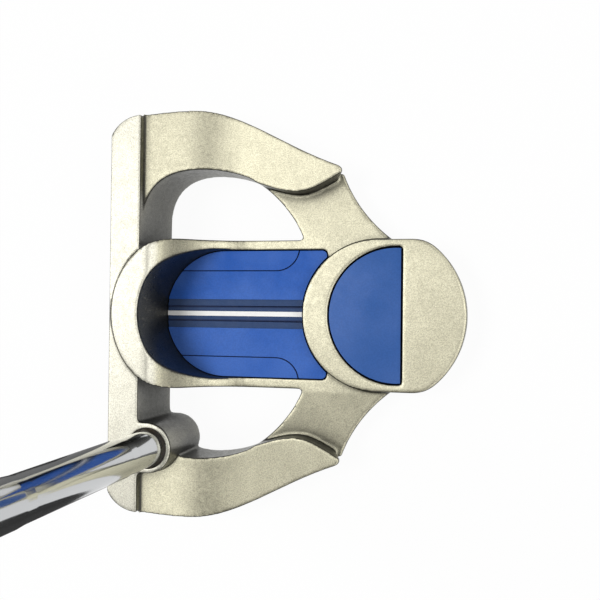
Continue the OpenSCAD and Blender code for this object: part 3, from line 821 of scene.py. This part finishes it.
# %% [markdown]
# ## The lamps
# Two softboxes light the matt pieces: a main one high up on the face side and a weaker one behind. They
# are hidden from reflections, so that the metal shows only the floor, the tent and the cards.


# %% Lamps
def softbox(name, place, size, power):
    """A square lamp that points at the head and that no reflection shows."""
    data = bpy.data.lights.new(name, "AREA")
    data.size = size
    data.energy = power
    lamp = bpy.data.objects.new(name, data)
    lamp.location = place
    lamp.rotation_euler = (-Vector(place)).to_track_quat("-Z", "Y").to_euler()
    lamp.visible_camera = False
    lamp.visible_glossy = False
    bpy.context.scene.collection.objects.link(lamp)


softbox("key_softbox", (-1.2, 0.1, 2.2), 1.0, 38.0)
softbox("rear_softbox", (2.0, 0.0, 1.9), 1.2, 10.0)

# %% [markdown]
# ## The cards
# Metal shows what stands round it, and in an all-white room it looks like plaster. So, as in a photo
# studio, cards that only the metal sees are set up: a grey wall behind the tail, a low dark ring that
# draws the edges, tall flags that put dark lines on the chrome, and cards on the floor, dark beside the
# shaft and grey before the face.

# %% Card helpers
CARD_RADIUS = 250.0 * MM
CARD_SIDES = 48


def stage_card(name, shape, dark, light):
    """Puts a card into the scene that only metal sees. Its two greys are given as single numbers."""
    mesh = bpy.data.meshes.new(name)
    shape.to_mesh(mesh)
    shape.free()
    mesh.materials.append(mottled_finish(name, (dark,) * 3, (light,) * 3, 40, 0.7, 0.9, 0.1 * MM))
    card = bpy.data.objects.new(name, mesh)
    bpy.context.scene.collection.objects.link(card)
    card.visible_camera = False
    card.visible_diffuse = False
    card.visible_transmission = False
    card.visible_shadow = False
    print(name, "has", len(mesh.polygons), "faces")


def round_wall(height, shift):
    """A round wall that stands about the head, with its middle shifted along x."""
    shape = bmesh.new()
    bmesh.ops.create_circle(shape, cap_ends=False, segments=CARD_SIDES, radius=CARD_RADIUS)
    raised = bmesh.ops.extrude_edge_only(shape, edges=shape.edges[:])["geom"]
    corners = [part for part in raised if isinstance(part, bmesh.types.BMVert)]
    bmesh.ops.translate(shape, verts=corners, vec=(0.0, 0.0, height))
    bmesh.ops.translate(shape, verts=shape.verts, vec=(shift, 0.0, 0.0))
    return shape


def card_at(shape, place, half_x, half_y):
    """Draws one card, lying in the plane of a matrix."""
    stretch = Matrix.Diagonal((half_x, half_y, 1.0, 1.0))
    bmesh.ops.create_grid(shape, x_segments=1, y_segments=1, size=1.0, matrix=place @ stretch)


print("card helpers ready")

# %% Standing cards
GREY_HEIGHT = 180.0 * MM
GREY_SHIFT = 40.0 * MM
GREY_FROM = 150.0 * MM
DARK_HEIGHT = 75.0 * MM
DARK_SHIFT = 30.0 * MM
DARK_UP_TO = 140.0 * MM
FLAG_RADIUS = 800.0 * MM
FLAG_MIDDLE = 600.0 * MM
FLAG_HALF_HEIGHT = 420.0 * MM
# Angles about the head in degrees, and half widths in millimetres.
FLAGS = ((35, 160), (80, 70), (150, 120), (215, 70), (262, 160), (325, 70))

grey_shape = round_wall(GREY_HEIGHT, GREY_SHIFT)
others = [face for face in grey_shape.faces if face.calc_center_median().x < GREY_FROM]
bmesh.ops.delete(grey_shape, geom=others, context="FACES")
stage_card("grey_card", grey_shape, 0.7, 0.76)

dark_shape = round_wall(DARK_HEIGHT, DARK_SHIFT)
others = [face for face in dark_shape.faces if face.calc_center_median().x > DARK_UP_TO]
bmesh.ops.delete(dark_shape, geom=others, context="FACES")
standing = Matrix.Rotation(math.radians(90), 4, "Y")
for angle, half_width in FLAGS:
    about = Matrix.Rotation(math.radians(angle), 4, "Z")
    about = about @ Matrix.Translation((FLAG_RADIUS, 0.0, FLAG_MIDDLE)) @ standing
    card_at(dark_shape, about, FLAG_HALF_HEIGHT, half_width * MM)
stage_card("dark_cards", dark_shape, 0.02, 0.03)

# %% Floor cards
# Each card is given by its middle and its half sizes in millimetres.
DARK_FLOOR = ((-80, -85, 50, 75), (20, -117, 50, 43))
DARK_LEVEL = 0.5 * MM
GREY_FLOOR = ((-70, -50, 60, 110),)
GREY_LEVEL = 0.3 * MM


def floor_cards(name, cards, level, dark, light):
    """Lays cards just above the floor."""
    shape = bmesh.new()
    for middle_x, middle_y, half_x, half_y in cards:
        about = Matrix.Translation((middle_x * MM, middle_y * MM, level))
        card_at(shape, about, half_x * MM, half_y * MM)
    stage_card(name, shape, dark, light)


floor_cards("dark_floor", DARK_FLOOR, DARK_LEVEL, 0.035, 0.055)
floor_cards("grey_floor", GREY_FLOOR, GREY_LEVEL, 0.2, 0.24)

# %% [markdown]
# ## The tent
# The ceiling over the head isn't even either. It is brightest on the face side, so the bar is almost
# white, weaker over the heel and the toe, and dark in a band that shows on the slope of each wing. Seen
# level, the tent is plain white. Matt pieces get a soft dome instead, because they need no reflections.

# %% Tent
world = bpy.data.worlds.new("tent")
world.use_nodes = True
bpy.context.scene.world = world
tree = world.node_tree
# In a world, the Generated coordinates are the direction that a ray looks in.
directions = tree.nodes.new("ShaderNodeTexCoord").outputs["Generated"]
tailward, toeward, upward = split(tree, directions)

from_heel = span(tree, toeward, -0.2, 0.06, 0.2, 0.75)
to_toe = span(tree, toeward, 0.07, 0.2, 1.0, 0.35)
over_head = times(tree, from_heel, to_toe)
to_face = span(tree, tailward, 0.01, -0.15, 0.0, 0.8)
heel_share = span(tree, toeward, -0.22, 0.05, 0.42, 1.05)
past_heel = span(tree, toeward, -0.36, -0.24, 0.45, 1.0)
face_side = times(tree, times(tree, to_face, heel_share), past_heel)
face_wall = span(tree, tailward, -0.27, -0.46, 0.0, 0.36)
rear_wall = span(tree, tailward, 0.12, 0.36, 0.0, 0.9)
ceiling = plus(tree, plus(tree, over_head, face_side), plus(tree, face_wall, rear_wall))
ceiling = times(tree, ceiling, span(tree, tailward, 0.5, 0.75, 1.0, 0.75))
low = span(tree, upward, 0.45, 0.2)
tent = tree.nodes.new("ShaderNodeMix")
tent.inputs["B"].default_value = 1.0
tree.links.new(low, tent.inputs["Factor"])
tree.links.new(ceiling, tent.inputs["A"])
print("tent has", len(tree.nodes), "nodes")

# %% World
seen = tree.nodes["Background"]
seen.inputs["Color"].default_value = (1.0, 1.0, 1.0, 1.0)
tree.links.new(tent.outputs["Result"], seen.inputs["Strength"])
dome = tree.nodes.new("ShaderNodeBackground")
dome.inputs["Color"].default_value = (1.0, 0.995, 0.98, 1.0)
tree.links.new(span(tree, upward, 0.0, 0.9, 0.2, 0.5), dome.inputs["Strength"])
backdrop = tree.nodes.new("ShaderNodeMixShader")
tree.links.new(seen_directly(tree), backdrop.inputs["Fac"])
tree.links.new(dome.outputs["Background"], backdrop.inputs[1])
tree.links.new(seen.outputs["Background"], backdrop.inputs[2])
tree.links.new(backdrop.outputs["Shader"], tree.nodes["World Output"].inputs["Surface"])
print("world has", len(tree.nodes), "nodes")
